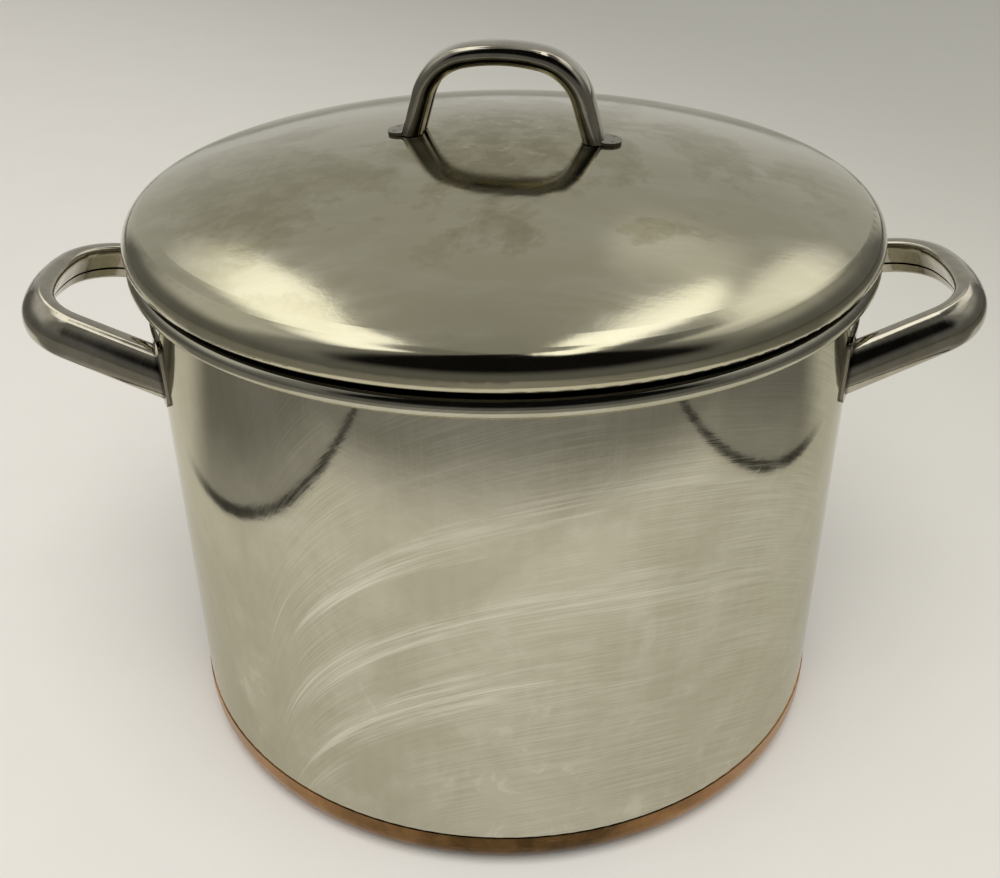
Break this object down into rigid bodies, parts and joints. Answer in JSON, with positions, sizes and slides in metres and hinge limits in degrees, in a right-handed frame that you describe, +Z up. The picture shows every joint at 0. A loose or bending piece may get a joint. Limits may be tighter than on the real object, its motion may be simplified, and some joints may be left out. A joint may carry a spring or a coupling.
{
  "type": "soup kettle",
  "caption": "Round stainless stockpot for soup, with a copper-clad base, rolled rim, domed lift-off lid with an arched handle, and a rolled loop handle on each side.",
  "frame": {"origin": "centre of the copper base's underside, on the surface that the pot stands on", "axes": "+Z up the pot's axis, +X to the right side handle, -Y towards the picture's viewer"},
  "size_m": [0.4094, 0.309, 0.2971],
  "materials": {
    "body_steel": "satin, scrubbed",
    "lid_steel": "satin, stained",
    "handle_steel": "polished",
    "copper": "dull copper"
  },
  "bodies": {
    "pot": {"pot_body": "body_steel", "copper_base": "copper", "right_handle_grip": "handle_steel", "right_handle_front_foot": "handle_steel", "right_handle_rear_foot": "handle_steel", "right_handle_spot_welds": "handle_steel", "left_handle_grip": "handle_steel", "left_handle_front_foot": "handle_steel", "left_handle_rear_foot": "handle_steel", "left_handle_spot_welds": "handle_steel"},
    "lid": {"lid_shell": "lid_steel", "lid_handle": "handle_steel", "lid_handle_spot_welds": "handle_steel"}
  },
  "joints": [
    {"name": "lid_lift", "type": "slide", "parent": "pot", "child": "lid", "axis": [0, 0, 1], "range_m": [0, 0.15]}
  ]
}
